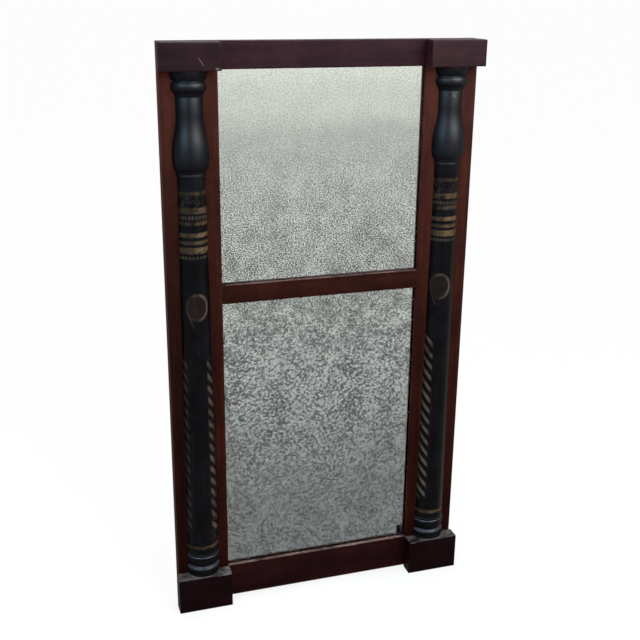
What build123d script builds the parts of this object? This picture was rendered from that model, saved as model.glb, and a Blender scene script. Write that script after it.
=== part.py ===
from build123d import *
import os

# A two-plate wall mirror with a half-round turned column on each side, in millimetres.
# X runs to the right, Y runs back to the wall and Z runs up. The front faces -Y.
# The origin is on the wall plane, midway between the two hanging holes.

# Frame, seen from the front
frame_width = 450.0
frame_height = 836.0
stile_width = 77.5
top_rail_height = 36.0
middle_rail_height = 27.0
bottom_rail_height = 53.0
lower_sight_height = 425.5
hanging_drop = 95.0

# Frame, from front to back
core_thickness = 19.0
veneer_thickness = 1.0
lip_thickness = 5.5

# Rebates behind the sight edge, one step for the glass and one for the backboard
glass_rebate_width = 8.0
board_ledge_width = 8.0
board_thickness = 6.0
board_clearance = 0.5

# Mirror plates
glass_thickness = 2.5
silver_thickness = 0.2
glass_clearance = 1.0

# Glue blocks that hold each plate against the lip
glue_block_foot = 7.0
glue_block_length = 30.0
glue_block_clearance = 0.3
glue_blocks_across = 2
glue_blocks_upper_side = 2
glue_blocks_lower_side = 3

# Tenons and pegs
tenon_length = 36.0
tenon_thickness = 6.0
tenon_shoulder = 4.0
middle_tenon_shoulder = 2.0
mortise_end_clearance = 1.0
peg_diameter = 4.5
peg_length = 15.0
peg_offset = 24.0
peg_clearance = 0.05

# Corner blocks
block_width = 81.5
block_depth = 22.0
block_inner_overhang = 1.0
block_lower_overhang = 3.5

# Columns, whose axis lies a little behind the face that they are glued to
column_axis_depth = 6.0
base_disc_height = 3.0
base_disc_radius = 25.0
base_torus_height = 11.0
base_torus_radius = 26.4
base_torus_edge_radius = 23.6
scotia_height = 8.0
scotia_radius = 21.8
upper_torus_height = 11.0
upper_torus_radius = 26.0
base_fillet_height = 3.0
base_fillet_radius = 24.8
shaft_bottom_radius = 24.2
shaft_top_radius = 19.9
collar_height = 8.0
collar_radius = 20.8
collar_groove_height = 1.6
collar_groove_radius = 19.8
vase_height = 103.0
vase_foot_radius = 21.0
vase_foot_rise_share = 0.3
vase_belly_radius = 25.8
vase_belly_height = 19.0
vase_shoulder_radius = 23.4
vase_shoulder_height = 41.0
vase_neck_radius = 19.2
vase_neck_height = 72.0
neck_cove_height = 7.0
neck_cove_radius = 22.0
ring_height = 12.5
ring_radius = 24.6
ring_edge_radius = 21.4
cap_groove_height = 2.5
cap_groove_radius = 20.8
cap_height = 12.0
cap_foot_radius = 23.2
cap_radius = 26.8

# Hanger plates, let in flush at the back of the stiles
hanger_width = 20.0
hanger_length = 50.0
hanger_thickness = 1.5
hanger_clearance = 0.3
hanging_hole_diameter = 7.0
hook_pocket_diameter = 13.0
hook_pocket_depth = 9.0
hanger_screw_spacing = 14.0
hanger_screw_first = 16.0

# Screws
screw_clearance = 0.1
screw_slot_width = 0.8
screw_slot_depth = 0.6
hanger_screw_diameter = 3.0
hanger_screw_head = 5.6
hanger_screw_head_height = 1.4
hanger_screw_length = 14.0
column_screw_diameter = 4.0
column_screw_head = 8.0
column_screw_head_height = 2.2
column_screw_length = 31.0
screw_tip_length = 4.0

# Cut nails
nail_tip_share = 0.45
board_nail_length = 17.0
board_nail_width = 2.0
board_nail_head = 4.0
board_nail_head_thickness = 0.8
board_nails_across = 3
board_nails_upper_side = 3
board_nails_lower_side = 4
board_nail_end_margin = 30.0
block_nail_length = 34.0
block_nail_width = 2.6
block_nail_head = 5.0
block_nail_head_thickness = 1.0
block_nail_spacing = 22.0
block_nail_edge_margin = 8.0

# Places that follow from the sizes
half_width = frame_width / 2
sight_x = half_width - stile_width
face_y = -(core_thickness + veneer_thickness)
glass_front_y = lip_thickness - core_thickness
glass_back_y = glass_front_y + glass_thickness
silver_back_y = glass_back_y + silver_thickness
top_z = hanging_drop
bottom_z = top_z - frame_height
lower_sight_z = (bottom_z + bottom_rail_height, bottom_z + bottom_rail_height + lower_sight_height)
upper_sight_z = (lower_sight_z[1] + middle_rail_height, top_z - top_rail_height)
middle_z = (lower_sight_z[1] + upper_sight_z[0]) / 2
board_rebate_width = glass_rebate_width + board_ledge_width
ledge_x = sight_x + glass_rebate_width + board_ledge_width / 2
ledge_z = (
    lower_sight_z[0] - glass_rebate_width - board_ledge_width / 2,
    upper_sight_z[1] + glass_rebate_width + board_ledge_width / 2,
)
column_x = sight_x + stile_width / 2
column_axis_y = face_y + column_axis_depth
column_height = upper_sight_z[1] - lower_sight_z[0]
block_x = (sight_x - block_inner_overhang, sight_x - block_inner_overhang + block_width)
block_front_y = face_y - block_depth
tenon_y = (glass_front_y - board_thickness) / 2
top_tenon_z = (upper_sight_z[1] + board_rebate_width + tenon_shoulder, top_z - tenon_shoulder)
bottom_tenon_z = (bottom_z + tenon_shoulder, lower_sight_z[0] - board_rebate_width - tenon_shoulder)
middle_tenon_z = (
    lower_sight_z[1] + glass_rebate_width + middle_tenon_shoulder,
    upper_sight_z[0] - glass_rebate_width - middle_tenon_shoulder,
)
tenon_heights = (bottom_tenon_z, middle_tenon_z, top_tenon_z)
base_height = (
    base_disc_height + base_torus_height + scotia_height + upper_torus_height + base_fillet_height
)
head_height = vase_height + ring_height + cap_groove_height + cap_height
shaft_height = column_height - base_height - collar_height - head_height
column_screw_z = (
    lower_sight_z[0] + base_height - base_fillet_height - upper_torus_height / 2,
    upper_sight_z[1] - head_height + vase_belly_height,
)
block_nail_x = (
    half_width - block_nail_edge_margin - block_nail_spacing,
    half_width - block_nail_edge_margin,
)
block_nail_z = (bottom_z + bottom_rail_height / 2, top_z - top_rail_height / 2)
SIDES = {"left": -1, "right": 1}


def slab(x, y, z):
    """A box between two values along each axis."""
    size = [max(pair) - min(pair) for pair in (x, y, z)]
    corner = Vector(min(x), min(y), min(z))
    return Pos(*corner) * Box(*size, align=(Align.MIN, Align.MIN, Align.MIN))


def on_side(side, x):
    """A pair of distances from the middle, taken to one side."""
    return (side * x[0], side * x[1])


def spread(first, last, count):
    """Evenly spaced places from first to last."""
    step = (last - first) / (count - 1)
    return [first + step * index for index in range(count)]


def rod(diameter, length, x, z):
    """A cylinder that runs forwards from the wall plane."""
    return Pos(x, 0, z) * extrude(Plane.XZ * Circle(diameter / 2), length)


def screw(diameter, head, head_height, length, clearance=0.0):
    """A countersunk screw that enters from the back, or its hole when it has a clearance."""
    shank_r = diameter / 2 + clearance
    head_r = head / 2 + clearance
    end = length + clearance
    outline = Polyline(
        (0, 0),
        (head_r, 0),
        (shank_r, -head_height),
        (shank_r, screw_tip_length - end),
        (0, -end),
        close=True,
    )
    body = revolve(make_face(outline), Axis.Y)
    if clearance:
        return body
    slot = slab((-head, head), (-screw_slot_depth, 0), (-screw_slot_width / 2, screw_slot_width / 2))
    return body - slot


def nail(width, head, head_thickness, length):
    """A square cut nail that enters from the back and tapers to a blunt tip."""
    top = Plane.XZ * Rectangle(width, width)
    tip_width = width * nail_tip_share
    tip = Plane.XZ.offset(length) * Rectangle(tip_width, tip_width)
    shank = loft([top, tip])
    return shank + extrude(Plane.XZ * Rectangle(head, head), head_thickness)


# Volumes taken out of the frame behind the sight edges
def glass_space(sight_z):
    x = sight_x + glass_rebate_width
    return slab(
        (-x, x),
        (glass_front_y, 0),
        (sight_z[0] - glass_rebate_width, sight_z[1] + glass_rebate_width),
    )


def board_space():
    x = sight_x + board_rebate_width
    return slab(
        (-x, x),
        (-board_thickness, 0),
        (lower_sight_z[0] - board_rebate_width, upper_sight_z[1] + board_rebate_width),
    )


def tenon(side, z, clearance=0.0):
    x = (sight_x, sight_x + tenon_length + clearance)
    y = (tenon_y - tenon_thickness / 2, tenon_y + tenon_thickness / 2)
    return slab(on_side(side, x), y, z)


# Fixings
def peg_places(side):
    return [(side * (sight_x + peg_offset), sum(z) / 2) for z in tenon_heights]


def pegs(side, clearance=0.0):
    diameter = peg_diameter + 2 * clearance
    return [rod(diameter, peg_length + clearance, x, z) for x, z in peg_places(side)]


def hanger_screws(side, clearance=0.0):
    sizes = (hanger_screw_diameter, hanger_screw_head, hanger_screw_head_height, hanger_screw_length)
    one = screw(*sizes, clearance)
    drops = [hanger_screw_first, hanger_screw_first + hanger_screw_spacing]
    return [Pos(side * column_x, 0, -drop) * one for drop in drops]


def column_screws(side, clearance=0.0):
    sizes = (column_screw_diameter, column_screw_head, column_screw_head_height, column_screw_length)
    one = screw(*sizes, clearance)
    return [Pos(side * column_x, 0, z) * one for z in column_screw_z]


def block_nails(side):
    one = nail(block_nail_width, block_nail_head, block_nail_head_thickness, block_nail_length)
    return [Pos(side * x, 0, z) * one for x in block_nail_x for z in block_nail_z]


def board_nail_places():
    end = board_nail_end_margin
    upper = spread(middle_z + end, ledge_z[1] - end, board_nails_upper_side)
    lower = spread(ledge_z[0] + end, middle_z - end, board_nails_lower_side)
    across = spread(end - sight_x, sight_x - end, board_nails_across)
    places = [(side * ledge_x, z) for side in SIDES.values() for z in upper + lower]
    places += [(x, z) for x in across for z in ledge_z]
    return places


def board_nails():
    one = nail(board_nail_width, board_nail_head, board_nail_head_thickness, board_nail_length)
    return [Pos(x, 0, z) * one for x, z in board_nail_places()]


# Frame members
def stile(side):
    body = slab(on_side(side, (sight_x, half_width)), (-core_thickness, 0), (bottom_z, top_z))
    body -= [glass_space(lower_sight_z), glass_space(upper_sight_z), board_space()]
    body -= [tenon(side, z, mortise_end_clearance) for z in tenon_heights]
    body -= [hanger_plate_blank(side, hanger_clearance), hook_pocket(side)]
    body -= pegs(side, peg_clearance) + hanger_screws(side, screw_clearance)
    body -= column_screws(side, screw_clearance) + block_nails(side) + board_nails()
    return body


def stile_veneer(side):
    body = slab(on_side(side, (sight_x, half_width)), (face_y, -core_thickness), (bottom_z, top_z))
    return body - column_screws(side, screw_clearance) - block_nails(side)


def rail(z, tenon_z):
    body = slab((-sight_x, sight_x), (-core_thickness, 0), z)
    body -= [glass_space(lower_sight_z), glass_space(upper_sight_z), board_space()]
    for side in SIDES.values():
        body += tenon(side, tenon_z)
        body -= pegs(side, peg_clearance)
    return body - board_nails()


def rail_veneer(z):
    return slab((-sight_x, sight_x), (face_y, -core_thickness), z)


# Corner blocks
def corner_block(side, z):
    back_y = block_front_y + veneer_thickness
    return slab(on_side(side, block_x), (back_y, face_y), z) - block_nails(side)


def corner_block_veneer(side, z):
    return slab(on_side(side, block_x), (block_front_y, block_front_y + veneer_thickness), z)


# Columns
def column_outline():
    """Half of the turning's outline, drawn upwards from the middle of its foot."""
    edges = [Line((0, 0), (base_disc_radius, 0))]

    def end():
        return edges[-1] @ 1

    def straight(radius, rise=0.0):
        edges.append(Line(end(), (radius, end().Y + rise)))

    def curved(middle_radius, radius, rise):
        middle = (middle_radius, end().Y + rise / 2)
        edges.append(ThreePointArc(end(), middle, (radius, end().Y + rise)))

    straight(base_disc_radius, base_disc_height)
    straight(base_torus_edge_radius)
    curved(base_torus_radius, base_torus_edge_radius, base_torus_height)
    curved(scotia_radius, base_torus_edge_radius, scotia_height)
    curved(upper_torus_radius, base_torus_edge_radius, upper_torus_height)
    straight(base_fillet_radius)
    straight(base_fillet_radius, base_fillet_height)
    straight(shaft_bottom_radius)
    straight(shaft_top_radius, shaft_height)
    bead = (collar_height - collar_groove_height) / 2
    straight(collar_radius)
    straight(collar_radius, bead)
    straight(collar_groove_radius)
    straight(collar_groove_radius, collar_groove_height)
    straight(collar_radius)
    straight(collar_radius, bead)
    straight(vase_foot_radius)
    foot = end()
    belly = (vase_belly_radius, foot.Y + vase_belly_height)
    shoulder = (vase_shoulder_radius, foot.Y + vase_shoulder_height)
    neck = (vase_neck_radius, foot.Y + vase_neck_height)
    edges.append(Spline(foot, belly, tangents=((1, vase_foot_rise_share), (0, 1))))
    edges.append(Spline(belly, shoulder, neck, tangents=((0, 1), (0, 1))))
    straight(vase_neck_radius, vase_height - vase_neck_height - neck_cove_height)
    cove_middle = (2 * vase_neck_radius + neck_cove_radius) / 3
    curved(cove_middle, neck_cove_radius, neck_cove_height)
    straight(ring_edge_radius)
    curved(ring_radius, ring_edge_radius, ring_height)
    straight(cap_groove_radius)
    straight(cap_groove_radius, cap_groove_height)
    straight(cap_foot_radius)
    straight(cap_radius, cap_height)
    straight(0)
    edges.append(Line(end(), (0, 0)))
    return edges


def half_column(side):
    turning = revolve(Plane.XZ * make_face(column_outline()), Axis.Z)
    turning = Pos(side * column_x, column_axis_y, lower_sight_z[0]) * turning
    front = slab(on_side(side, (0, half_width)), (block_front_y, face_y), (bottom_z, top_z))
    return (turning & front) - column_screws(side, screw_clearance)


# Mirror plates and what holds them
def plate(sight_z, y):
    reach = glass_rebate_width - glass_clearance
    x = sight_x + reach
    return slab((-x, x), y, (sight_z[0] - reach, sight_z[1] + reach))


def glue_blocks(sight_z, side_count):
    """Three-cornered blocks between the back of a plate and the wall of its rebate."""
    rise = -board_thickness - silver_back_y - glue_block_clearance
    section = Polyline(
        (0, silver_back_y),
        (glue_block_foot, silver_back_y),
        (0, silver_back_y + rise),
        close=True,
    )
    one = extrude(make_face(section), glue_block_length / 2, both=True)
    wall_x = sight_x + glass_rebate_width
    low = sight_z[0] - glass_rebate_width
    high = sight_z[1] + glass_rebate_width
    blocks = []
    for z in spread(low, high, side_count + 2)[1:-1]:
        blocks.append(Pos(-wall_x, 0, z) * one)
        blocks.append(Pos(wall_x, 0, z) * Rot(0, 180, 0) * one)
    for x in spread(-wall_x, wall_x, glue_blocks_across + 2)[1:-1]:
        blocks.append(Pos(x, 0, high) * Rot(0, 90, 0) * one)
        blocks.append(Pos(x, 0, low) * Rot(0, -90, 0) * one)
    return blocks


def backboard(z):
    x = sight_x + board_rebate_width - board_clearance
    return slab((-x, x), (-board_thickness, 0), z) - board_nails()


# Hangers
def hanger_plate_blank(side, clearance=0.0):
    outline = SlotOverall(hanger_length + 2 * clearance, hanger_width + 2 * clearance, rotation=90)
    centre_z = (hanger_width - hanger_length) / 2
    blank = extrude(Plane.XZ * outline, hanger_thickness)
    return Pos(side * column_x, 0, centre_z) * blank


def hook_pocket(side):
    return rod(hook_pocket_diameter, hanger_thickness + hook_pocket_depth, side * column_x, 0)


def hanger_plate(side):
    body = hanger_plate_blank(side) - rod(hanging_hole_diameter, hanger_thickness, side * column_x, 0)
    return body - hanger_screws(side, screw_clearance)


def build():
    """Every sub-part under its own name."""
    ends = {"top": (upper_sight_z[1], top_z), "bottom": (bottom_z, lower_sight_z[0])}
    blocks = {"top": ends["top"], "bottom": (bottom_z - block_lower_overhang, lower_sight_z[0])}
    parts = {}
    for name, side in SIDES.items():
        parts[f"stile_{name}"] = stile(side)
        parts[f"stile_veneer_{name}"] = stile_veneer(side)
        parts[f"half_column_{name}"] = half_column(side)
        parts[f"hanger_plate_{name}"] = hanger_plate(side)
        for end, z in blocks.items():
            parts[f"corner_block_{end}_{name}"] = corner_block(side, z)
            parts[f"block_veneer_{end}_{name}"] = corner_block_veneer(side, z)
    rails = {
        "top_rail": (ends["top"], top_tenon_z),
        "middle_rail": ((lower_sight_z[1], upper_sight_z[0]), middle_tenon_z),
        "bottom_rail": (ends["bottom"], bottom_tenon_z),
    }
    for name, (z, tenon_z) in rails.items():
        parts[name] = rail(z, tenon_z)
        parts[f"{name}_veneer"] = rail_veneer(z)
    for name, sight_z, side_count in (
        ("upper", upper_sight_z, glue_blocks_upper_side),
        ("lower", lower_sight_z, glue_blocks_lower_side),
    ):
        parts[f"glass_{name}"] = plate(sight_z, (glass_front_y, glass_back_y))
        parts[f"silvering_{name}"] = plate(sight_z, (glass_back_y, silver_back_y))
        parts[f"glue_blocks_{name}"] = Compound(children=glue_blocks(sight_z, side_count))
    reach = board_rebate_width - board_clearance
    parts["backboard_upper"] = backboard((middle_z + board_clearance, upper_sight_z[1] + reach))
    parts["backboard_lower"] = backboard((lower_sight_z[0] - reach, middle_z - board_clearance))
    parts["backboard_nails"] = Compound(children=board_nails())
    both = SIDES.values()
    parts["joint_pegs"] = Compound(children=[one for side in both for one in pegs(side)])
    parts["block_nails"] = Compound(children=[one for side in both for one in block_nails(side)])
    parts["column_screws"] = Compound(children=[one for side in both for one in column_screws(side)])
    parts["hanger_screws"] = Compound(children=[one for side in both for one in hanger_screws(side)])
    return parts


os.makedirs("parts", exist_ok=True)
for name, shape in build().items():
    export_step(shape, f"parts/{name}.step")
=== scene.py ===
import math

import bmesh
import bpy
from mathutils import Matrix, Vector, geometry, noise


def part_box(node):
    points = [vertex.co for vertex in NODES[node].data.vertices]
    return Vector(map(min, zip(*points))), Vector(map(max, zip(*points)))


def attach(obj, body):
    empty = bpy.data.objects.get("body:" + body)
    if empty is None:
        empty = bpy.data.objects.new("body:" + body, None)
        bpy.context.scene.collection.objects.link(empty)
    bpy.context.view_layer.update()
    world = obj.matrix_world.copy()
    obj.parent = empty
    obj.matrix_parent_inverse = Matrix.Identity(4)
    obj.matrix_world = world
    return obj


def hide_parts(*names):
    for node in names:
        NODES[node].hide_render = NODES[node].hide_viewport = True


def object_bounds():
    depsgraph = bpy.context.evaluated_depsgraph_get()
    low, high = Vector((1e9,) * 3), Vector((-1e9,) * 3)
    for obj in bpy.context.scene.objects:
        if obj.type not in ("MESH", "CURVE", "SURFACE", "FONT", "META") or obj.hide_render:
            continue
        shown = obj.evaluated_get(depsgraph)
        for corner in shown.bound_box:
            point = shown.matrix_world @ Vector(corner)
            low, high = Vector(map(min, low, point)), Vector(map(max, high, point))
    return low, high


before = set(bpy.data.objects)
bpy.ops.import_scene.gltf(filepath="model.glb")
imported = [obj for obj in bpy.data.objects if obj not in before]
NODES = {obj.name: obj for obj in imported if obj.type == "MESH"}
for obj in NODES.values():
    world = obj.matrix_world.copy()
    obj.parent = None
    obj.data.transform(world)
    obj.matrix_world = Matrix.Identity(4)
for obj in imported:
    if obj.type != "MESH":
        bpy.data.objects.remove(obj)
CAD_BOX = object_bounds()

bl_info = {
    "name": "Two-plate wall mirror",
    "version": (1, 0, 0),
    "blender": (4, 5, 0),
    "location": "View3D > Sidebar > Mirror",
    "description": "Turns, veneers and ages a wall mirror with a half-round column on each side",
    "category": "Object",
}

MM = 0.001
PER_METRE = 1000.0
TINY = 1e-6
SIDES = {"left": -1, "right": 1}
ENDS = ("top", "bottom")
BODY = "root"
WHITE = (1.0, 1.0, 1.0, 1.0)
BOTTOM = CAD_BOX[0].z
TOP = CAD_BOX[1].z

# Edges sharper than the first stay hard in the shading, and turned corners sharper than the
# second are eased.
HARD_EDGE = math.radians(35)
TURNED_CORNER = math.radians(40)

# The turning's outline from its foot upwards, in millimetres. A line and the shaft go to a radius
# over a rise, a bulge passes a middle radius first, and a curve follows two handles to its end.
COLUMN_STEPS = (
    ("line", 25.0, 0.0),
    ("line", 25.0, 3.0),
    ("line", 23.6, 0.0),
    ("bulge", 26.4, 23.6, 11.0),
    ("bulge", 21.8, 23.6, 8.0),
    ("bulge", 26.0, 23.6, 11.0),
    ("line", 24.8, 0.0),
    ("line", 24.8, 3.0),
    ("line", 24.2, 0.0),
    ("shaft", 19.9, 573.0),
    ("line", 20.8, 0.0),
    ("line", 20.8, 3.2),
    ("line", 19.8, 0.0),
    ("line", 19.8, 1.6),
    ("line", 20.8, 0.0),
    ("line", 20.8, 3.2),
    ("line", 21.0, 0.0),
    ("curve", (24.0, 1.0), (25.8, 8.0), (25.8, 19.0)),
    ("curve", (25.8, 24.0), (19.2, 30.0), (19.2, 53.0)),
    ("line", 19.2, 24.0),
    ("bulge", 20.2, 22.0, 7.0),
    ("line", 21.4, 0.0),
    ("bulge", 24.6, 21.4, 12.5),
    ("line", 20.8, 0.0),
    ("line", 20.8, 2.5),
    ("line", 23.2, 0.0),
    ("line", 26.8, 12.0),
    ("line", 0.0, 0.0),
)
SHAFT_PARTS = 24
BULGE_POINTS = 11
CURVE_POINTS = 17

# A column is sawn this far in front of the axis of its turning.
COLUMN_AXIS_DEPTH = 6 * MM

# How often the turned surface drifts in a metre, across the column and along it.
DRIFT_ACROSS = 22
DRIFT_ALONG = 14

# The stencils, with heights in millimetres from a mark this far below the column's foot. A ring
# and a row of dots have a bottom, a top and a strength, and a row also has its number of dots.
# The oval has its middle's height, half its own height and half its width in degrees.
STENCIL_FOOT = 55.0
RINGS = (
    (640.4, 645.6, 0.35),
    (615.5, 623.5, 0.6),
    (599.5, 604.9, 0.6),
    (583.0, 589.0, 1.0),
    (573.0, 578.0, 0.6),
    (560.0, 568.8, 0.95),
    (101.5, 107.0, 0.55),
)
UPPER_DOTS = (605.9, 613.5, 26.0, 0.5)
LOWER_DOTS = (551.8, 557.2, 24.0, 0.5)
FLECKS = (624.0, 639.5)
STRIPES = (128.0, 404.0)
OVAL_HEIGHT = 483.5
OVAL_TALL = 20.0
OVAL_WIDE = 46.0

# Scratches and dust on the blocks' faces: start, end and width in millimetres.
BLOCK_MARKS = (
    ((-176.4, 75.3), (-169.9, 66.1), 0.85),
    ((-153.5, 62.0), (-147.0, 60.5), 2.6),
    ((149.0, -689.0), (158.0, -688.6), 1.5),
    ((-168.0, -688.8), (-148.0, -688.6), 1.3),
)

# Each rail's figure, its pores and the share of ribs across its grain.
RAILS = {
    "top_rail": (80.0, 0.25, 0.15),
    "middle_rail": (60.0, 0.15, 0.1),
    "bottom_rail": (110.0, 0.3, 0.2),
}

# How far an eased edge's wear fades over the flat beside it, on a block and on a veneer. A flat
# narrower than this many fringes has none.
BLOCK_FRINGE = 0.003
VENEER_FRINGE = 0.0022
FRINGE_ROOM = 2.5
# Width and height of the corner that is broken off the upper left block's veneer.
BROKEN_CORNER = (0.006, 0.007)

# The silvering's brightness by its share of the height from the plates' foot to their head. This is
# a painted reflection that darkens towards the foot.
SILVER_PAINTED_REFLECTION = (
    (0.0, 0.082), (0.1, 0.084), (0.19, 0.112), (0.28, 0.136), (0.365, 0.178), (0.45, 0.21),
    (0.53, 0.225), (0.65, 0.272), (0.73, 0.335), (0.8, 0.375), (0.876, 0.43), (0.912, 0.56),
    (0.95, 0.6), (0.985, 0.68),
)
# The silver's gap behind the glass, its rounded edge and its fringe.
SILVER_GAP = 0.05 * MM
SILVER_EASE = 0.02 * MM
SILVER_FRINGE = 0.002

# What the silvering's fine painted speckle, a painted reflection of gravel, multiplies its tone by,
# at its darkest and its lightest.
REFLECTED_SPECKLE_DARK = (0.04, 0.04, 0.04, 1.0)
REFLECTED_SPECKLE_LIGHT = (2.3, 2.3, 2.3, 1.0)

# What a wood's figure multiplies its colour by, and the strength of its reflections.
FIGURE_DARK = (0.48, 0.43, 0.43, 1.0)
FIGURE_LIGHT = (1.6, 1.65, 1.6, 1.0)
WOOD_GLOSS = 0.012

# Each lamp's setting, place, size, tint and target, and whether it only makes glints.
FRAME_TARGET = (0.0, -0.02, -0.28)
HEAD_TARGET = (0.0, -0.04, 0.0)
LAMPS = {
    "cool_lamp": (
        "left_lamp", (-1.83, -1.4, 0.55), (1.5, 1.4), (0.74, 0.87, 1.0), FRAME_TARGET, False
    ),
    "plain_lamp": (
        "right_lamp", (0.45, -1.35, 0.52), (0.85, 1.2), (1.0, 0.985, 0.95), FRAME_TARGET, False
    ),
    "cool_glint": (
        "left_glint", (-1.35, -1.25, 0.9), (1.1, 1.2), (0.5, 0.75, 1.0), HEAD_TARGET, True
    ),
    "plain_glint": (
        "right_glint", (0.9, -1.2, 0.9), (1.4, 1.2), (0.87, 0.93, 1.0), HEAD_TARGET, True
    ),
}
OVERHEAD_ANGLE = math.radians(60)
OVERHEAD_TILT = math.radians(-8)
FLOOR_RADIUS = 60.0
# The share of plain white that the camera sees in the floor's colour.
FLOOR_WHITE = 0.8

CAMERA_PLACE = (-0.4283, -1.3223, 0.1776)
CAMERA_TURN = (70.798, -0.642, -17.846)
CAMERA_LENS = 55.867
CAMERA_SENSOR = 36.0


class Value:
    """A number that varies over a surface. Arithmetic on it adds Math nodes."""

    def __init__(self, finish, socket):
        self.finish = finish
        self.socket = socket

    def math(self, operation, *values):
        return self.finish.node("ShaderNodeMath", {"operation": operation}, dict(enumerate(values)))

    def __add__(self, other):
        return self.math("ADD", self, other)

    def __radd__(self, other):
        return self.math("ADD", other, self)

    def __sub__(self, other):
        return self.math("SUBTRACT", self, other)

    def __rsub__(self, other):
        return self.math("SUBTRACT", other, self)

    def __mul__(self, other):
        return self.math("MULTIPLY", self, other)

    def __rmul__(self, other):
        return self.math("MULTIPLY", other, self)

    def __truediv__(self, other):
        return self.math("DIVIDE", self, other)

    def __pow__(self, other):
        return self.math("POWER", self, other)

    def __abs__(self):
        return self.math("ABSOLUTE", self)

    def repeat(self):
        """The part of the number after its point, for a pattern that comes again and again."""
        return self.math("FLOORED_MODULO", self, 1.0)

    def least(self, other):
        return self.math("MINIMUM", self, other)

    def most(self, other):
        return self.math("MAXIMUM", self, other)

    def rise(self, low, high):
        """A soft step from 0 at low to 1 at high."""
        return self.finish.node(
            "ShaderNodeMapRange",
            {"interpolation_type": "SMOOTHSTEP"},
            {0: self, 1: low, 2: high, 3: 0.0, 4: 1.0},
        )

    def fall(self, low, high):
        """A soft step from 1 at low to 0 at high."""
        return 1.0 - self.rise(low, high)

    def band(self, low, high, soft):
        """1 between low and high, with soft edges."""
        return self.rise(low - soft, low + soft) * self.fall(high - soft, high + soft)


class Finish:
    """The nodes of a material or a world, and the one way that they are made."""

    def __init__(self, name, kind="materials"):
        self.owner = getattr(bpy.data, kind).new(name)
        self.owner.use_nodes = True
        self.tree = self.owner.node_tree
        self.tree.nodes.clear()

    def node(self, kind, settings=None, sockets=None, output=0):
        made = self.tree.nodes.new(kind)
        for key, value in (settings or {}).items():
            if key == "stops":
                self.set_stops(made.color_ramp, value)
            else:
                setattr(made, key, value)
        for key, value in (sockets or {}).items():
            if isinstance(value, Value):
                self.tree.links.new(value.socket, made.inputs[key])
            else:
                made.inputs[key].default_value = value
        return Value(self, made.outputs[output])

    def set_stops(self, ramp, stops):
        while len(ramp.elements) < len(stops):
            ramp.elements.new(1.0)
        for element, (position, colour) in zip(ramp.elements, stops):
            element.position = position
            element.color = colour

    def place(self, scale=(1.0, 1.0, 1.0), centre=(0.0, 0.0, 0.0)):
        """Places on the object in metres from a centre, stretched by a scale along each axis."""
        here = self.node("ShaderNodeTexCoord", output=3)
        moved = [-c * s for c, s in zip(centre, scale)]
        return self.node("ShaderNodeMapping", None, {0: here, 1: moved, 3: scale})

    def axes(self, place):
        """A place's or a direction's x, y and z."""
        made = self.tree.nodes.new("ShaderNodeSeparateXYZ")
        self.tree.links.new(place.socket, made.inputs[0])
        return [Value(self, socket) for socket in made.outputs]

    def noise(self, place, scale, detail, roughness):
        """Cloudy noise round 0.5. Its scale is the number of clouds in a metre."""
        return self.node(
            "ShaderNodeTexNoise", None, {0: place, 2: scale, 3: detail, 4: roughness}
        )

    def blend(self, first, second, share, mode="MIX"):
        """One colour mixed into another by a share."""
        settings = {"data_type": "RGBA", "blend_type": mode, "clamp_factor": True}
        return self.node("ShaderNodeMix", settings, {0: share, 6: first, 7: second}, output=2)

    def up(self, low=0.55, high=0.9):
        """1 on surfaces that face upwards, where dust lies."""
        normal = self.node("ShaderNodeNewGeometry", output=1)
        return self.axes(normal)[2].rise(low, high)

    def worn(self):
        """1 on eased edges, fading over the few millimetres beside them."""
        return self.node("ShaderNodeAttribute", {"attribute_name": "worn"}, output=2)

    def bump(self, height, distance, strength):
        sockets = {"Strength": strength, "Distance": distance, "Height": height}
        return self.node("ShaderNodeBump", None, sockets)

    def shade(self, **sockets):
        """Ends a material in a Principled shader with these sockets."""
        named = {key.replace("_", " "): value for key, value in sockets.items()}
        self.put_out(self.node("ShaderNodeBsdfPrincipled", None, named))
        return self.owner

    def put_out(self, surface, kind="Material"):
        made = self.tree.nodes.new(f"ShaderNodeOutput{kind}")
        self.tree.links.new(surface.socket, made.inputs[0])


def colour(red, green, blue):
    return (red, green, blue, 1.0)


def scaled(rgb, factor):
    return (rgb[0] * factor, rgb[1] * factor, rgb[2] * factor, 1.0)


def paint(names, material):
    """Gives a material to carried-over nodes."""
    for name in names:
        for slot in NODES[name].material_slots:
            slot.material = material


def make_piece(name, bm, material, replaces):
    """Makes a piece of a finished bmesh, with its hard edges marked, and puts it on the frame."""
    for face in bm.faces:
        face.smooth = True
    for edge in bm.edges:
        edge.smooth = not edge.is_manifold or edge.calc_face_angle(0.0) < HARD_EDGE
    mesh = bpy.data.meshes.new(name)
    bm.to_mesh(mesh)
    bm.free()
    mesh.materials.append(material)
    piece = bpy.data.objects.new(name, mesh)
    bpy.context.scene.collection.objects.link(piece)
    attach(piece, BODY)
    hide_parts(*replaces)


def stroke(x, z, start, end, width):
    """1 on a short line between two places on a face."""
    run = (end[0] - start[0], end[1] - start[1])
    length = run[0] ** 2 + run[1] ** 2
    along = ((x - start[0]) * run[0] + (z - start[1]) * run[1]) / length
    along = along.most(0.0).least(1.0)
    gap_x = x - start[0] - along * run[0]
    gap_z = z - start[1] - along * run[1]
    return ((gap_x ** 2.0 + gap_z ** 2.0) ** 0.5).fall(width * 0.3, width * 0.7)


# Woods
def along_grain(scale, grain, share):
    """A noise's scale along each axis, with only a share of it along the grain."""
    scales = [scale, scale, scale]
    scales["XYZ".index(grain)] = scale * share
    return scales


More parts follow.
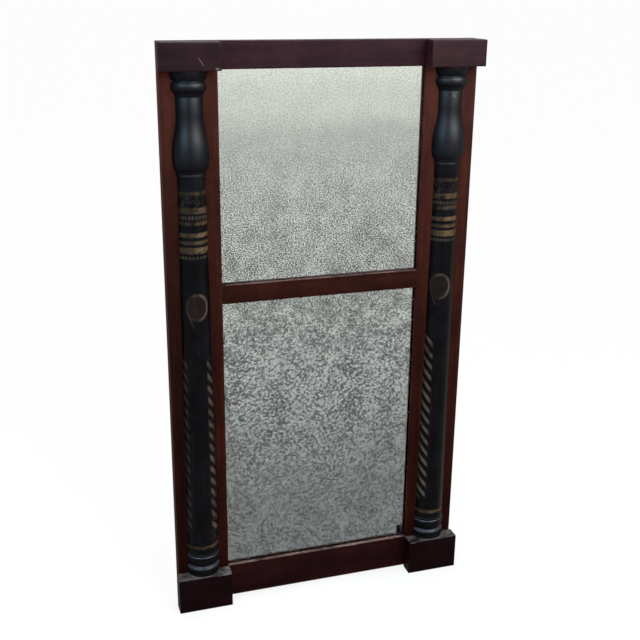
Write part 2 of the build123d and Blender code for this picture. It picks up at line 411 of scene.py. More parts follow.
def wood(name, low, high, grain, figure, rough, ends, pores, cross=0.0, painted_shade=None, marks=()):
    """A stained wood. Its colours go from low at the frame's foot to high at its head, and the
    lighter head is a painted reflection.

    The ends are the colours of dust and of a rubbed edge. A painted shade darkens the wood beyond
    how far on the left, between which heights, and how much.
    """
    dust, bare = ends
    finish = Finish(name)
    stretch = along_grain(figure, grain, 0.045)
    fibres = finish.noise(finish.place(stretch), 1.0, 6.0, 0.62)
    fine = [s * 3.1 for s in stretch]
    lines = finish.noise(finish.place(fine), 1.0, 3.0, 0.6)
    clouds = finish.noise(finish.place(), 17.0, 3.0, 0.55)
    spots = finish.noise(finish.place(), 95.0, 3.0, 0.6)
    side, _, height = finish.axes(finish.place())
    # A painted reflection lightens the wood towards the frame's head.
    reflection_lift = (height - BOTTOM) / (TOP - BOTTOM)
    reflection_lift = reflection_lift.most(0.0) ** 1.5
    tone = fibres.rise(0.34, 0.68) * 0.36 + clouds.rise(0.3, 0.7) * 0.42
    tone = tone + spots.rise(0.3, 0.7) * 0.22
    if cross:
        ribs = [s * 0.5 for s in stretch]
        flame = finish.noise(finish.place(ribs), 1.0, 2.0, 0.5)
        tone = tone * (1.0 - cross) + flame.rise(0.42, 0.58) * cross
    middle = finish.blend(low, high, reflection_lift)
    # Painted shade on the left, between two heights.
    if painted_shade:
        reach, foot, head, share = painted_shade
        shaded = (0.0 - side).rise(reach, reach + 0.02)
        shaded = shaded * (height + clouds * 0.1).band(foot, head, 0.09)
        middle = finish.blend(middle, colour(0.0, 0.0, 0.0), shaded * share)
    dark = finish.blend(middle, FIGURE_DARK, 1.0, "MULTIPLY")
    light = finish.blend(middle, FIGURE_LIGHT, 1.0, "MULTIPLY")
    shade = finish.blend(dark, light, tone)
    streak = lines.rise(0.56, 0.7) * pores
    shade = finish.blend(shade, dark, streak)
    scuff = spots.rise(0.42, 0.6) * 0.5 + 0.14
    shade = finish.blend(shade, bare, finish.worn() * scuff)
    for start, end, width in marks:
        mark = stroke(side * PER_METRE, height * PER_METRE, start, end, width)
        shade = finish.blend(shade, scaled(dust, 1.3), mark * (0.3 + spots.rise(0.4, 0.6) * 0.5))
    lying = finish.up() * (clouds * 0.5 + spots * 0.5).rise(0.3, 0.62) * 0.85
    shade = finish.blend(shade, dust, lying)
    roughness = rough + (spots - 0.5) * 0.25 + lying * 0.3
    relief = lines * 0.5 + fibres * 0.3 + spots * 0.2
    return finish.shade(
        Base_Color=shade,
        Roughness=roughness,
        Specular_IOR_Level=WOOD_GLOSS,
        Normal=finish.bump(relief, 0.0004, 0.6),
    )


def raw_wood(name, pale, deep, grain, figure):
    """Unfinished wood gone brown with age, with saw marks across the grain."""
    finish = Finish(name)
    stretch = along_grain(figure, grain, 0.05)
    rings = finish.noise(finish.place(stretch), 1.0, 4.0, 0.55)
    fine = finish.noise(finish.place([s * 4.0 for s in stretch]), 1.0, 3.0, 0.6)
    clouds = finish.noise(finish.place(), 8.0, 3.0, 0.6)
    along = finish.axes(finish.place())["XYZ".index(grain)]
    saw = abs((along * 320.0 + clouds * 3.0).repeat() - 0.5) * 2.0
    tone = rings.rise(0.35, 0.65) * 0.6 + clouds.rise(0.3, 0.7) * 0.4
    shade = finish.blend(pale, deep, tone)
    shade = finish.blend(shade, scaled(deep, 0.45), fine.rise(0.58, 0.72) * 0.6)
    stain = finish.noise(finish.place(), 3.5, 4.0, 0.65).rise(0.5, 0.68)
    shade = finish.blend(shade, scaled(deep, 0.6), stain * 0.5)
    return finish.shade(
        Base_Color=shade,
        Roughness=0.75 + fine * 0.2,
        Specular_IOR_Level=0.2,
        Normal=finish.bump(saw * 0.35 + fine * 0.65, 0.0005, 0.7),
    )


def metal(name, clean, tarnish, cover, rough):
    """Metal under a patchy tarnish."""
    finish = Finish(name)
    patches = finish.noise(finish.place(), 160.0, 5.0, 0.65)
    pits = finish.noise(finish.place(), 900.0, 3.0, 0.6)
    spread = (patches + (pits - 0.5) * 0.4).rise(0.62 - cover * 0.4, 0.82 - cover * 0.4)
    return finish.shade(
        Base_Color=finish.blend(clean, tarnish, spread),
        Metallic=1.0 - spread * 0.85,
        Roughness=rough + spread * 0.4,
        Normal=finish.bump(pits * 0.6 + spread * 0.4, 0.0002, 0.7),
    )


# Columns
def ebony(side, name, settings):
    """Black stain over a turned column, with worn bronze stencilling, painted light on the bronze
    bands and a painted highlight at the foot.
    """
    low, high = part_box(f"half_column_{name}")
    axis = ((low.x + high.x) / 2, high.y + COLUMN_AXIS_DEPTH, 0.0)
    finish = Finish(f"ebonised_{name}")
    place = finish.place()
    x, y, _ = finish.axes(finish.place(centre=axis))
    height = (finish.axes(place)[2] - low.z) * PER_METRE + STENCIL_FOOT
    turn = x.math("ARCTAN2", x, 0.0 - y) / math.tau
    degrees = turn * 360.0
    fine = finish.noise(place, 420.0, 4.0, 0.65)
    grains = finish.noise(place, 150.0, 4.0, 0.6)
    clouds = finish.noise(place, 38.0, 3.0, 0.55)
    streaks = finish.noise(finish.place((260.0, 260.0, 9.0)), 1.0, 4.0, 0.6)
    kept = (clouds * 0.5 + grains * 0.5).rise(0.36, 0.54)
    rub = (grains * 0.6 + fine * 0.4).rise(0.34, 0.62)
    ragged = (fine - 0.5) * 2.4 + (grains - 0.5) * 2.0

    def ring(bottom, top, strength):
        return (height + ragged * 0.5).band(bottom, top, 0.7) * strength

    def dots(bottom, top, count, strength):
        across = abs((turn * count).repeat() - 0.5) * 2.0
        middle = (bottom + top) / 2
        tall = abs(height - middle) / ((top - bottom) / 2)
        return (across * across + tall * tall).fall(0.35, 1.0) * strength

    # Bronze rings, dots and flecks.
    gilt = ring(*RINGS[0])
    for band in RINGS[1:]:
        gilt = gilt.most(ring(*band))
    gilt = gilt * (0.3 + kept * 0.7)
    flecks = finish.noise(place, 340.0, 2.0, 0.5).rise(0.52, 0.62)
    pale = flecks * height.band(*FLECKS, 1.0) * 0.26
    pale = pale.most(dots(*UPPER_DOTS)).most(dots(*LOWER_DOTS))

    # An oval outline with a short tail, brighter at its upper right.
    centre = settings.medallion_turn * 360.0 if side > 0 else 0.0
    wide = (degrees - centre) / OVAL_WIDE
    tall = (height - OVAL_HEIGHT) / OVAL_TALL
    oval = (wide * wide + tall * tall) ** 0.5 + ragged * 0.03
    slant = degrees + (height - OVAL_HEIGHT) * 0.7
    bright = 0.22 + slant.rise(centre - 20.0, centre + 34.0) * 0.7
    medal = oval.band(0.8, 1.0, 0.07) * bright * (0.45 + kept * 0.55)
    tail = stroke(degrees, height, (centre - 36.0, 472.0), (centre - 15.0, 455.0), 3.2)
    medal = medal.most(tail * 0.3).most(oval.fall(0.78, 0.86) * 0.09)

    # Slanting stripes on the side towards the mirror.
    rise = height / settings.spiral_pitch * MM
    phase = (rise + turn * settings.spiral_starts + ragged * 0.02).repeat()
    thick = 0.23 if side < 0 else 0.2
    stripes = phase.band(0.5 - thick, 0.5 + thick, 0.07) * height.band(*STRIPES, 4.0)
    inner = degrees * (-side)
    edge = 33.0 if side < 0 else 36.0
    faded = 0.9 - inner.rise(edge + 12.0, edge + 45.0) * 0.5
    shown = inner.rise(edge - 6.0, edge + 5.0) * faded
    flank = (0.0 - inner).rise(40.0, 58.0)
    stripes = stripes * (0.4 + kept * 0.6)

    # Painted light and shade on the bronze: brighter right of the middle, painted shade on the
    # left.
    dull = settings.gilt_painted_shade
    half = dull + degrees.rise(centre - 12.0, centre + 16.0) * (1.0 - dull)
    gilt = gilt * (0.5 + rub * 0.5)
    gilt_lit_and_shaded = finish.blend(scaled(settings.gilt_colour, 0.32), settings.gilt_colour, half)

    # The stain, browned, rubbed and chipped, with a painted highlight on the tori at the foot.
    black = scaled(settings.ebony_colour, 2.6)
    black = finish.blend(settings.ebony_colour, black, clouds.rise(0.35, 0.7))
    brown = colour(0.018, 0.009, 0.005)
    black = finish.blend(black, brown, streaks.rise(0.55, 0.72) * 0.4)
    if side > 0:
        worn = degrees.rise(43.0, 55.0) * height.band(100.0, 560.0, 30.0)
        pale_bare, brown_bare = colour(0.065, 0.052, 0.049), colour(0.05, 0.03, 0.024)
        bared = finish.blend(pale_bare, brown_bare, height.rise(150.0, 330.0))
        black = finish.blend(black, bared, worn * (0.4 + rub * 0.4))
        chip = stroke(degrees, height, (-5.0, 763.0), (2.0, 761.0), 4.0)
        black = finish.blend(black, colour(0.06, 0.055, 0.05), chip * 0.8)
    # A painted bluish highlight on the upper halves of the tori at the foot.
    painted_foot_highlight = height.band(58.0, 96.0, 3.0) * finish.up(0.15, 0.75) * (0.35 + rub * 0.4)
    black = finish.blend(black, colour(0.055, 0.064, 0.09), painted_foot_highlight)
    nick = grains.rise(0.68, 0.74) * fine.rise(0.5, 0.6)
    black = finish.blend(black, colour(0.05, 0.04, 0.034), nick * 0.5)

    # The stencils on the stain, and dust on what faces up.
    stencilled = (stripes * shown).most(pale * (0.4 + kept * 0.6))
    shade = finish.blend(black, settings.dull_colour[:], stencilled)
    outer = 0.65 if side < 0 else 0.15
    shade = finish.blend(shade, colour(0.026, 0.026, 0.021), stripes * flank * outer)
    shade = finish.blend(shade, colour(0.098, 0.062, 0.045), medal * (0.55 + rub * 0.45))
    shade = finish.blend(shade, gilt_lit_and_shaded, gilt)
    cover = gilt.most(medal).most(stripes * shown)
    dusty = finish.up(0.35, 0.9) * (0.25 + rub * 0.35)
    shade = finish.blend(shade, colour(0.09, 0.085, 0.085), dusty * 0.3)
    roughness = settings.sheen - height.fall(640.0, 665.0) * 0.14
    roughness = roughness + (clouds - 0.5) * 0.12 + cover * 0.2
    relief = streaks * 0.35 + grains * 0.3 + fine * 0.15 + cover * 0.2
    return finish.shade(
        Base_Color=shade,
        Roughness=roughness,
        Specular_IOR_Level=settings.gloss,
        Normal=finish.bump(relief, 0.00035, 0.5),
    )


def column_profile(bm, axis_x, axis_y, foot_z):
    """The turning's outline as a chain of edges, from the axis at the foot to that at the head."""
    points = [Vector((0.0, 0.0, 0.0))]
    for kind, *data in COLUMN_STEPS:
        start = points[-1]
        if kind == "line":
            radius, rise = data
            points.append(Vector((radius, 0.0, start.z + rise)))
        elif kind == "shaft":
            radius, rise = data
            end = Vector((radius, 0.0, start.z + rise))
            for step in range(1, SHAFT_PARTS + 1):
                points.append(start.lerp(end, step / SHAFT_PARTS))
        elif kind == "bulge":
            middle, radius, rise = data
            end = Vector((radius, 0.0, start.z + rise))
            out = Vector(((middle - (start.x + radius) / 2) * 4 / 3, 0.0, 0.0))
            arc = geometry.interpolate_bezier(start, start + out, end + out, end, BULGE_POINTS)
            points.extend(arc[1:])
        else:
            handles = [Vector((r, 0.0, start.z + z)) for r, z in data]
            arc = geometry.interpolate_bezier(start, *handles, CURVE_POINTS)
            points.extend(arc[1:])
    shift = Vector((axis_x, axis_y, foot_z))
    verts = [bm.verts.new(point * MM + shift) for point in points]
    for first, second in zip(verts, verts[1:]):
        bm.edges.new((first, second))


def turn_column(name, side, settings, material):
    """A half-round column, spun in full and sawn down its length in front of its axis."""
    low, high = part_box(f"half_column_{name}")
    axis_x, axis_y = (low.x + high.x) / 2, high.y + COLUMN_AXIS_DEPTH
    bm = bmesh.new()
    column_profile(bm, axis_x, axis_y, low.z)
    bmesh.ops.spin(
        bm,
        geom=bm.verts[:] + bm.edges[:],
        cent=(axis_x, axis_y, 0.0),
        axis=(0.0, 0.0, 1.0),
        angle=math.tau,
        steps=settings.facets,
        use_merge=True,
    )
    bmesh.ops.remove_doubles(bm, verts=bm.verts, dist=TINY)
    bmesh.ops.recalc_face_normals(bm, faces=bm.faces)
    rings = [
        edge
        for edge in bm.edges
        if edge.is_manifold
        and edge.calc_face_angle(0.0) > TURNED_CORNER
        and abs(edge.verts[0].co.z - edge.verts[1].co.z) < TINY
    ]
    bmesh.ops.bevel(
        bm,
        geom=rings,
        offset=settings.edge_ease,
        offset_type="OFFSET",
        segments=2,
        profile=0.5,
        affect="EDGES",
        clamp_overlap=True,
        material=-1,
    )
    for vert in bm.verts:
        out = Vector((vert.co.x - axis_x, vert.co.y - axis_y, 0.0))
        if out.length > MM and low.z + MM < vert.co.z < high.z - MM:
            across = vert.co * DRIFT_ACROSS
            along = vert.co.z * DRIFT_ALONG + side
            drift = noise.noise(Vector((across.x, across.y, along)))
            vert.co += out.normalized() * drift * settings.wobble
    cut = bmesh.ops.bisect_plane(
        bm,
        geom=bm.verts[:] + bm.edges[:] + bm.faces[:],
        plane_co=(0.0, high.y, 0.0),
        plane_no=(0.0, 1.0, 0.0),
        clear_outer=True,
    )
    rim = [item for item in cut["geom_cut"] if isinstance(item, bmesh.types.BMEdge)]
    bmesh.ops.contextual_create(bm, geom=rim)
    bmesh.ops.recalc_face_normals(bm, faces=bm.faces)
    make_piece(f"column_{name}", bm, material, [f"half_column_{name}"])


# Boxes with eased edges
def eased_box(low, high, ease, fringe, keep_back=False):
    """A box with rounded arrises, and a mark on them for the wear in its material."""
    bm = bmesh.new()
    matrix = Matrix.LocRotScale((low + high) / 2, None, high - low)
    bmesh.ops.create_cube(bm, size=1.0, matrix=matrix)
    back = high.y - TINY
    edges = [e for e in bm.edges if not keep_back or min(v.co.y for v in e.verts) < back]
    made = bmesh.ops.bevel(
        bm,
        geom=edges,
        offset=ease,
        offset_type="OFFSET",
        segments=3,
        profile=0.5,
        affect="EDGES",
        clamp_overlap=True,
        material=-1,
    )
    arrises = set(made["faces"])
    rounded = {vert for face in arrises for vert in face.verts}
    flats = [face for face in bm.faces if face not in arrises]
    wide = [face for face in flats if min(face_sides(face)) > fringe * FRINGE_ROOM]
    bmesh.ops.inset_individual(bm, faces=wide, thickness=fringe, use_even_offset=True)
    layer = bm.verts.layers.float.new("worn")
    for vert in bm.verts:
        vert[layer] = 1.0 if vert in rounded else 0.0
    return bm


def face_sides(face):
    """A flat face's two larger extents."""
    spans = []
    for axis in range(3):
        places = [vert.co[axis] for vert in face.verts]
        spans.append(max(places) - min(places))
    return sorted(spans)[1:]


def break_corner(bm, corner, width, height):
    """Breaks the lower right corner off a veneer."""
    normal = Vector((height, 0.0, -width)).normalized()
    cut = bmesh.ops.bisect_plane(
        bm,
        geom=bm.verts[:] + bm.edges[:] + bm.faces[:],
        plane_co=corner + Vector((-width, 0.0, 0.0)),
        plane_no=normal,
        clear_outer=True,
    )
    rim = [item for item in cut["geom_cut"] if isinstance(item, bmesh.types.BMEdge)]
    bmesh.ops.holes_fill(bm, edges=rim)
    bmesh.ops.recalc_face_normals(bm, faces=bm.faces)


class ColumnSettings(bpy.types.PropertyGroup):
    ebony_colour: bpy.props.FloatVectorProperty(
        name="Black", description="Colour of the black stain",
        default=(0.0008, 0.0008, 0.0012, 1.0), size=4, min=0.0, max=1.0, subtype="COLOR",
    )
    gilt_colour: bpy.props.FloatVectorProperty(
        name="Bronze", description="Colour of the stencilled bands",
        default=(0.115, 0.073, 0.033, 1.0), size=4, min=0.0, max=1.0, subtype="COLOR",
    )
    dull_colour: bpy.props.FloatVectorProperty(
        name="Dull stencil", description="Colour of the stripes, the dots and the flecks",
        default=(0.07, 0.056, 0.038, 1.0), size=4, min=0.0, max=1.0, subtype="COLOR",
    )
    # The bronze's painted shade on its left half, as a share of its colour.
    gilt_painted_shade: bpy.props.FloatProperty(
        name="Dull side", description="Share of the bronze's colour on its duller half",
        default=0.05, min=0.0, max=1.0, subtype="FACTOR",
    )
    gloss: bpy.props.FloatProperty(
        name="Gloss", description="Strength of the reflections on the black stain",
        default=0.035, min=0.0, max=1.0, subtype="FACTOR",
    )
    sheen: bpy.props.FloatProperty(
        name="Softness", description="Roughness of the black stain",
        default=0.47, min=0.0, max=1.0, subtype="FACTOR",
    )
    spiral_pitch: bpy.props.FloatProperty(
        name="Stripe pitch", description="Height from one spiral stripe to the next",
        default=0.0183, min=0.005, unit="LENGTH",
    )
    spiral_starts: bpy.props.IntProperty(
        name="Stripe starts", description="Number of stripes round the column", default=8, min=1,
    )
    medallion_turn: bpy.props.FloatProperty(
        name="Oval's place", description="Turn of the right column's oval towards the mirror",
        default=-0.056, min=-0.25, max=0.25,
    )
    facets: bpy.props.IntProperty(
        name="Facets", description="Flats round a whole turning", default=120, min=24, max=240,
    )
    edge_ease: bpy.props.FloatProperty(
        name="Eased edge", description="Rounding of the turned corners",
        default=0.0004, min=0.0, unit="LENGTH",
    )
    wobble: bpy.props.FloatProperty(
        name="Tool wobble", description="How far the turned surface drifts",
        default=0.00025, min=0.0, unit="LENGTH",
    )


class WoodSettings(bpy.types.PropertyGroup):
    # The colours at the foot and at the head of each wood differ by a painted reflection that
    # lightens the head.
    veneer_low: bpy.props.FloatVectorProperty(
        name="Veneer at the foot", description="Middle colour of the veneer at the frame's foot",
        default=(0.0145, 0.0025, 0.0012, 1.0), size=4, min=0.0, max=1.0, subtype="COLOR",
    )
    veneer_high: bpy.props.FloatVectorProperty(
        name="Veneer at the head", description="Middle colour of the veneer at the frame's head",
        default=(0.048, 0.0108, 0.0068, 1.0), size=4, min=0.0, max=1.0, subtype="COLOR",
    )
    rail_low: bpy.props.FloatVectorProperty(
        name="Rail at the foot", description="Middle colour of the bottom rail's veneer",
        default=(0.0125, 0.0022, 0.0025, 1.0), size=4, min=0.0, max=1.0, subtype="COLOR",
    )
    rail_high: bpy.props.FloatVectorProperty(
        name="Rail at the head", description="Middle colour of the top rail's veneer",
        default=(0.0215, 0.006, 0.0088, 1.0), size=4, min=0.0, max=1.0, subtype="COLOR",
    )
    block_low: bpy.props.FloatVectorProperty(
        name="Block at the foot", description="Middle colour of the lower corner blocks",
        default=(0.0052, 0.001, 0.0014, 1.0), size=4, min=0.0, max=1.0, subtype="COLOR",
    )
    block_high: bpy.props.FloatVectorProperty(
        name="Block at the head", description="Middle colour of the upper corner blocks",
        default=(0.029, 0.010, 0.013, 1.0), size=4, min=0.0, max=1.0, subtype="COLOR",
    )
    dust: bpy.props.FloatVectorProperty(
        name="Dust", description="Colour of the dust on ledges",
        default=(0.14, 0.124, 0.124, 1.0), size=4, min=0.0, max=1.0, subtype="COLOR",
    )
    bare: bpy.props.FloatVectorProperty(
        name="Worn edge", description="Colour of the wood where an edge is rubbed through",
        default=(0.16, 0.11, 0.09, 1.0), size=4, min=0.0, max=1.0, subtype="COLOR",
    )
    pine: bpy.props.FloatVectorProperty(
        name="Pine", description="Colour of the backboards",
        default=(0.32, 0.19, 0.095, 1.0), size=4, min=0.0, max=1.0, subtype="COLOR",
    )
    edge_ease: bpy.props.FloatProperty(
        name="Eased edge", description="Rounding of the blocks' arrises",
        default=0.0008, min=0.0, unit="LENGTH",
    )
    veneer_ease: bpy.props.FloatProperty(
        name="Veneer edge", description="Rounding of the veneers' arrises",
        default=0.0004, min=0.0, unit="LENGTH",
    )


class PlateSettings(bpy.types.PropertyGroup):
    # Tints of the painted reflection in the silvering, at the head and at the foot.
    head_tone: bpy.props.FloatVectorProperty(
        name="Tint at the head", description="Tint of the silvering at the top of the plates",
        default=(1.0, 1.0, 0.93, 1.0), size=4, min=0.0, max=1.0, subtype="COLOR",
    )
    foot_tone: bpy.props.FloatVectorProperty(
        name="Tint at the foot", description="Tint of the silvering at the foot of the plates",
        default=(0.94, 1.0, 0.99, 1.0), size=4, min=0.0, max=1.0, subtype="COLOR",
    )
    # Strength of the silvering's painted speckle, a painted reflection of gravel.
    grain: bpy.props.FloatProperty(
        name="Grain", description="Strength of the old silvering's fine grain",
        default=1.0, min=0.0, max=1.0, subtype="FACTOR",
    )
    ripple: bpy.props.FloatProperty(
        name="Ripple", description="Strength of the ripple in the old glass",
        default=0.02, min=0.0, max=1.0, subtype="FACTOR",
    )


class StageSettings(bpy.types.PropertyGroup):
    floor_colour: bpy.props.FloatVectorProperty(
        name="Floor", description="Colour of the floor",
        default=(0.9, 0.9, 0.9, 1.0), size=4, min=0.0, max=1.0, subtype="COLOR",
    )
    left_lamp: bpy.props.FloatProperty(
        name="Left lamp", description="Brightness of the cool lamp on the left",
        default=3.0, min=0.0,
    )
    right_lamp: bpy.props.FloatProperty(
        name="Right lamp", description="Brightness of the plain lamp on the right",
        default=3.5, min=0.0,
    )
    left_glint: bpy.props.FloatProperty(
        name="Left glint", description="Brightness of the cool highlights on the left",
        default=84.0, min=0.0,
    )
    right_glint: bpy.props.FloatProperty(
        name="Right glint", description="Brightness of the plain highlights on the right",
        default=108.0, min=0.0,
    )
    overhead: bpy.props.FloatProperty(
        name="Overhead", description="Strength of the light from above", default=1.6, min=0.0,
    )
    ambient: bpy.props.FloatProperty(
        name="Ambient", description="Strength of the light from all around", default=0.5, min=0.0,
    )


class MIRROR_OT_columns(bpy.types.Operator):
    """Turn the two half-round columns and stencil them"""

    bl_idname = "wall_mirror.columns"
    bl_label = "Columns"

    def execute(self, context):
        settings = context.scene.mirror_columns
        for name, side in SIDES.items():
            turn_column(name, side, settings, ebony(side, name, settings))
        return {"FINISHED"}


class MIRROR_OT_blocks(bpy.types.Operator):
    """Make the four corner blocks and their veneers"""

    bl_idname = "wall_mirror.blocks"
    bl_label = "Corner blocks"

    def execute(self, context):
        settings = context.scene.mirror_woods
        basis = (settings.block_low[:], settings.block_high[:], "X", 90.0, 0.5)
        ends = (settings.dust[:], settings.bare[:])
        # Painted shade on the upper left block.
        painted_shade = (0.1, 0.04, 0.2, 0.45)
        face = wood("block_veneer_wood", *basis, ends, 0.25, painted_shade=painted_shade, marks=BLOCK_MARKS)
        core = wood("block_core_wood", *basis, ends, 0.5)
        for label in (f"{end}_{side}" for end in ENDS for side in SIDES):
            node = f"corner_block_{label}"
            bm = eased_box(*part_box(node), settings.veneer_ease, BLOCK_FRINGE)
            make_piece(f"block_core_{label}", bm, core, [node])
            node = f"block_veneer_{label}"
            low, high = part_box(node)
            bm = eased_box(low, high, settings.edge_ease, VENEER_FRINGE, keep_back=True)
            if label == "top_left":
                break_corner(bm, Vector((high.x, low.y, low.z)), *BROKEN_CORNER)
            make_piece(f"block_face_{label}", bm, face, [node])
        return {"FINISHED"}


class MIRROR_OT_veneers(bpy.types.Operator):
    """Lay the veneers on the stiles and rails"""

    bl_idname = "wall_mirror.veneers"
    bl_label = "Veneers"

    def execute(self, context):
        settings = context.scene.mirror_woods
        ends = (settings.dust[:], settings.bare[:])
        veneers = (settings.veneer_low[:], settings.veneer_high[:])
        for name, side in SIDES.items():
            node = f"stile_veneer_{name}"
            # Painted shade on the left stile's outer part, between two heights.
            painted_shade = (0.19, -0.62, 0.0, 0.5) if side < 0 else None
            upright = wood(f"stile_{name}_wood", *veneers, "Z", 150.0, 0.48, ends, 0.4, 0.3, painted_shade)
            bm = eased_box(*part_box(node), settings.veneer_ease, VENEER_FRINGE, keep_back=True)
            make_piece(f"stile_face_{name}", bm, upright, [node])
        for rail, (figure, pores, cross) in RAILS.items():
            node = f"{rail}_veneer"
            tones = (settings.rail_low[:], settings.rail_high[:])
            if rail == "middle_rail":
                tones = (scaled(settings.veneer_low, 0.8), scaled(settings.veneer_high, 0.75))
            material = wood(f"{rail}_wood", *tones, "X", figure, 0.48, ends, pores, cross)
            bm = eased_box(*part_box(node), settings.veneer_ease, VENEER_FRINGE, keep_back=True)
            make_piece(f"{rail}_face", bm, material, [node])
        return {"FINISHED"}


class MIRROR_OT_frame(bpy.types.Operator):
    """Finish the stiles and rails behind their veneers"""

    bl_idname = "wall_mirror.frame"
    bl_label = "Frame"

    def execute(self, context):
        settings = context.scene.mirror_woods
        ends = (settings.dust[:], settings.bare[:])
        tones = (scaled(settings.veneer_low, 1.3), settings.veneer_high[:])
        stile = wood("stile_core_wood", *tones, "Z", 170.0, 0.62, ends, 0.7)
        rail = wood("rail_core_wood", *tones, "X", 170.0, 0.62, ends, 0.7)
        worn_ends = (colour(0.13, 0.075, 0.06), settings.bare[:])
        lip = wood("lip_wood", *tones, "X", 170.0, 0.62, worn_ends, 0.5)
        paint(("stile_left", "stile_right"), stile)
        paint(("top_rail",), rail)
        paint(("middle_rail", "bottom_rail"), lip)
        return {"FINISHED"}


def silvering(settings):
    """Old silvering with a painted reflection that is darker towards the foot, a fine painted
    speckle, and specks at its edges.
    """
    finish = Finish("old_silvering")
    place = finish.place()
    x, _, z = finish.axes(place)
    drift = finish.noise(place, 6.0, 3.0, 0.6)
    height = z + (drift - 0.5) * 0.04
    low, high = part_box("silvering_lower")[0].z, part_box("silvering_upper")[1].z
    share = (height - low) / (high - low)
    # Painted reflection: the ramp lightens the silver from its foot to its head.
    stops = [(at, colour(tone, tone, tone)) for at, tone in SILVER_PAINTED_REFLECTION]
    tone = finish.node("ShaderNodeValToRGB", {"stops": stops}, {0: share})
    tint = finish.blend(settings.foot_tone[:], settings.head_tone[:], share)
    shade = finish.blend(tone, tint, 1.0, "MULTIPLY")
    # A fine painted speckle, a painted reflection of gravel, strongest towards the foot.
    flattened = finish.place((1.0, 1.0, 1.25))
    fine = finish.noise(flattened, 460.0, 2.0, 0.7)
    coarse = finish.noise(flattened, 245.0, 3.0, 0.85)
    patches = (finish.noise(place, 36.0, 3.0, 0.6) - 0.5) * 0.16
    grain = (fine + (coarse - fine) * share.fall(0.35, 0.7) + patches).rise(0.45, 0.55)
    strength = 0.12 + share.fall(0.6, 0.92) * 0.88
    dark = finish.blend(shade, REFLECTED_SPECKLE_DARK, strength * settings.grain, "MULTIPLY")
    light = finish.blend(shade, REFLECTED_SPECKLE_LIGHT, strength * settings.grain, "MULTIPLY")
    shade = finish.blend(dark, light, grain)
    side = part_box("silvering_upper")[1].x
    rim = (side - abs(x)).least(height - low).least(high - height)
    specks = finish.noise(place, 210.0, 4.0, 0.7).rise(0.62, 0.7)
    foxing = specks * rim.fall(0.006, 0.03)
    shade = finish.blend(shade, colour(0.03, 0.024, 0.018), foxing * 0.8)
    return finish.shade(
        Base_Color=shade,
        Metallic=1.0 - foxing * 0.8,
        Roughness=foxing * 0.5,
    )


def plate_glass(settings):
    """Clear old glass with a slight ripple."""
    finish = Finish("old_glass")
    ripple = finish.noise(finish.place((1.0, 1.0, 0.6)), 14.0, 2.0, 0.4)
    return finish.shade(
        Base_Color=colour(0.975, 1.0, 0.985),
        Roughness=0.0,
        IOR=1.5,
        Transmission_Weight=1.0,
        Normal=finish.bump(ripple, 0.004, settings.ripple),
    )


class MIRROR_OT_plates(bpy.types.Operator):
    """Finish the two glass plates and their silvering"""

    bl_idname = "wall_mirror.plates"
    bl_label = "Plates"

    def execute(self, context):
        settings = context.scene.mirror_plates
        paint(("glass_upper", "glass_lower"), plate_glass(settings))
        silver = silvering(settings)
        for name in ("upper", "lower"):
            node = f"silvering_{name}"
            low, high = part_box(node)
            front = low + Vector((0.0, SILVER_GAP, 0.0))
            bm = eased_box(front, high, SILVER_EASE, SILVER_FRINGE)
            make_piece(f"silver_{name}", bm, silver, [node])
        return {"FINISHED"}


class MIRROR_OT_back(bpy.types.Operator):
    """Finish the backboards, glue blocks, pegs and fixings"""

    bl_idname = "wall_mirror.back"
    bl_label = "Back"

    def execute(self, context):
        pine = context.scene.mirror_woods.pine[:]
        boards = raw_wood("backboard_pine", pine, scaled(pine, 0.45), "Z", 45.0)
        blocks = raw_wood("glue_block_pine", scaled(pine, 1.1), scaled(pine, 0.6), "Z", 70.0)
        pegs = raw_wood("peg_wood", scaled(pine, 0.7), scaled(pine, 0.3), "Y", 300.0)
        rust = metal("nail_iron", colour(0.12, 0.11, 0.1), colour(0.085, 0.032, 0.014), 0.75, 0.42)
        steel = metal("screw_iron", colour(0.3, 0.28, 0.26), colour(0.08, 0.04, 0.022), 0.5, 0.35)
        clean, tarnish = colour(0.5, 0.34, 0.12), colour(0.09, 0.055, 0.025)
        brass = metal("hanger_brass", clean, tarnish, 0.45, 0.32)
        paint(("backboard_upper", "backboard_lower"), boards)
        paint(("glue_blocks_upper", "glue_blocks_lower"), blocks)
        paint(("joint_pegs",), pegs)
        paint(("backboard_nails", "block_nails"), rust)
        paint(("column_screws", "hanger_screws"), steel)
        paint(("hanger_plate_left", "hanger_plate_right"), brass)
        return {"FINISHED"}


def seen_directly(finish, share=1.0):
    """A share for the camera's rays, 1 for reflections and 0 for light that falls on the object."""
    camera, glossy, passed = (
        finish.node("ShaderNodeLightPath", output=index) for index in (0, 3, 6)
    )
    return (camera * share).most(glossy).most(passed)


def lay_floor(settings):
    """A wide round floor under the mirror, which the camera sees whiter than it is lit."""
    bm = bmesh.new()
    bmesh.ops.create_circle(bm, cap_ends=True, segments=96, radius=FLOOR_RADIUS)
    bmesh.ops.translate(bm, verts=bm.verts, vec=(0.0, 0.0, BOTTOM))
    mesh = bpy.data.meshes.new("floor")
    bm.to_mesh(mesh)
    bm.free()
    floor = bpy.data.objects.new("floor", mesh)
    bpy.context.scene.collection.objects.link(floor)

    finish = Finish("pale_floor")
    plain = finish.node("ShaderNodeBsdfDiffuse", None, {0: settings.floor_colour[:]})
    white = finish.node("ShaderNodeEmission", None, {0: WHITE, 1: 1.0})
    share = seen_directly(finish, FLOOR_WHITE)
    finish.put_out(finish.node("ShaderNodeMixShader", None, {0: share, 1: plain, 2: white}))
    finish.owner.cycles.emission_sampling = "NONE"
    mesh.materials.append(finish.owner)


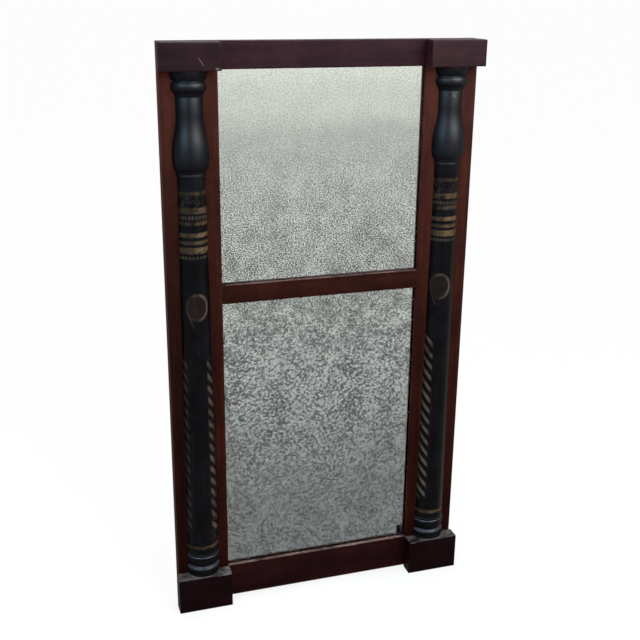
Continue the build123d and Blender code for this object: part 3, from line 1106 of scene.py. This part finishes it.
def light_around(settings):
    """Even light from all around, and full white for the camera and in reflections."""
    finish = Finish("studio", "worlds")
    strength = settings.ambient + seen_directly(finish) * (1.0 - settings.ambient)
    light = finish.node("ShaderNodeBackground", None, {0: WHITE, 1: strength})
    finish.put_out(light, "World")
    bpy.context.scene.world = finish.owner


def add_lamp(name, radiance, place, size, tint, target, glints):
    """A soft panel lamp of even brightness, turned to a place. Glints only show on shiny faces."""
    data = bpy.data.lights.new(name, "AREA")
    data.shape = "RECTANGLE"
    data.size, data.size_y = size
    data.energy = radiance * math.pi * size[0] * size[1]
    data.color = tint
    lamp = bpy.data.objects.new(name, data)
    lamp.location = place
    aim = Vector(target) - Vector(place)
    lamp.rotation_euler = aim.to_track_quat("-Z", "Y").to_euler()
    lamp.visible_diffuse = not glints
    lamp.visible_glossy = glints
    lamp.visible_transmission = False
    bpy.context.scene.collection.objects.link(lamp)


def add_overhead(settings):
    """Soft light from above, which makes no highlights."""
    data = bpy.data.lights.new("overhead", "SUN")
    data.energy = settings.overhead
    data.angle = OVERHEAD_ANGLE
    overhead = bpy.data.objects.new("overhead", data)
    overhead.rotation_euler = (OVERHEAD_TILT, 0.0, 0.0)
    overhead.visible_glossy = False
    bpy.context.scene.collection.objects.link(overhead)


def place_camera():
    """The camera, where the photograph's camera stood."""
    data = bpy.data.cameras.new("camera")
    data.lens = CAMERA_LENS
    data.sensor_width = CAMERA_SENSOR
    camera = bpy.data.objects.new("camera", data)
    camera.location = CAMERA_PLACE
    camera.rotation_euler = [math.radians(angle) for angle in CAMERA_TURN]
    bpy.context.scene.collection.objects.link(camera)
    bpy.context.scene.camera = camera


class MIRROR_OT_stage(bpy.types.Operator):
    """Set the floor, the lamps and the camera"""

    bl_idname = "wall_mirror.stage"
    bl_label = "Stage"

    def execute(self, context):
        settings = context.scene.mirror_stage
        lay_floor(settings)
        light_around(settings)
        for name, (brightness, *shape) in LAMPS.items():
            add_lamp(name, getattr(settings, brightness), *shape)
        add_overhead(settings)
        place_camera()
        context.scene.view_settings.view_transform = "Standard"
        return {"FINISHED"}


OPERATORS = (
    MIRROR_OT_frame,
    MIRROR_OT_veneers,
    MIRROR_OT_blocks,
    MIRROR_OT_columns,
    MIRROR_OT_plates,
    MIRROR_OT_back,
    MIRROR_OT_stage,
)

GROUPS = {
    "mirror_columns": ColumnSettings,
    "mirror_woods": WoodSettings,
    "mirror_plates": PlateSettings,
    "mirror_stage": StageSettings,
}


class MIRROR_PT_panel(bpy.types.Panel):
    """Lists the pieces and their settings"""

    bl_idname = "MIRROR_PT_panel"
    bl_label = "Wall mirror"
    bl_space_type = "VIEW_3D"
    bl_region_type = "UI"
    bl_category = "Mirror"

    def draw(self, context):
        for operator in OPERATORS:
            self.layout.operator(operator.bl_idname)
        for group, kind in GROUPS.items():
            box = self.layout.box()
            settings = getattr(context.scene, group)
            for key in kind.__annotations__:
                box.prop(settings, key)


def register():
    for kind in (*GROUPS.values(), *OPERATORS, MIRROR_PT_panel):
        bpy.utils.register_class(kind)
    for name, kind in GROUPS.items():
        setattr(bpy.types.Scene, name, bpy.props.PointerProperty(type=kind))


def unregister():
    for name in GROUPS:
        delattr(bpy.types.Scene, name)
    for kind in (MIRROR_PT_panel, *reversed(OPERATORS), *reversed(GROUPS.values())):
        bpy.utils.unregister_class(kind)


def main():
    register()
    for operator in OPERATORS:
        group, name = operator.bl_idname.split(".")
        getattr(getattr(bpy.ops, group), name)()


if __name__ == "__main__":
    main()
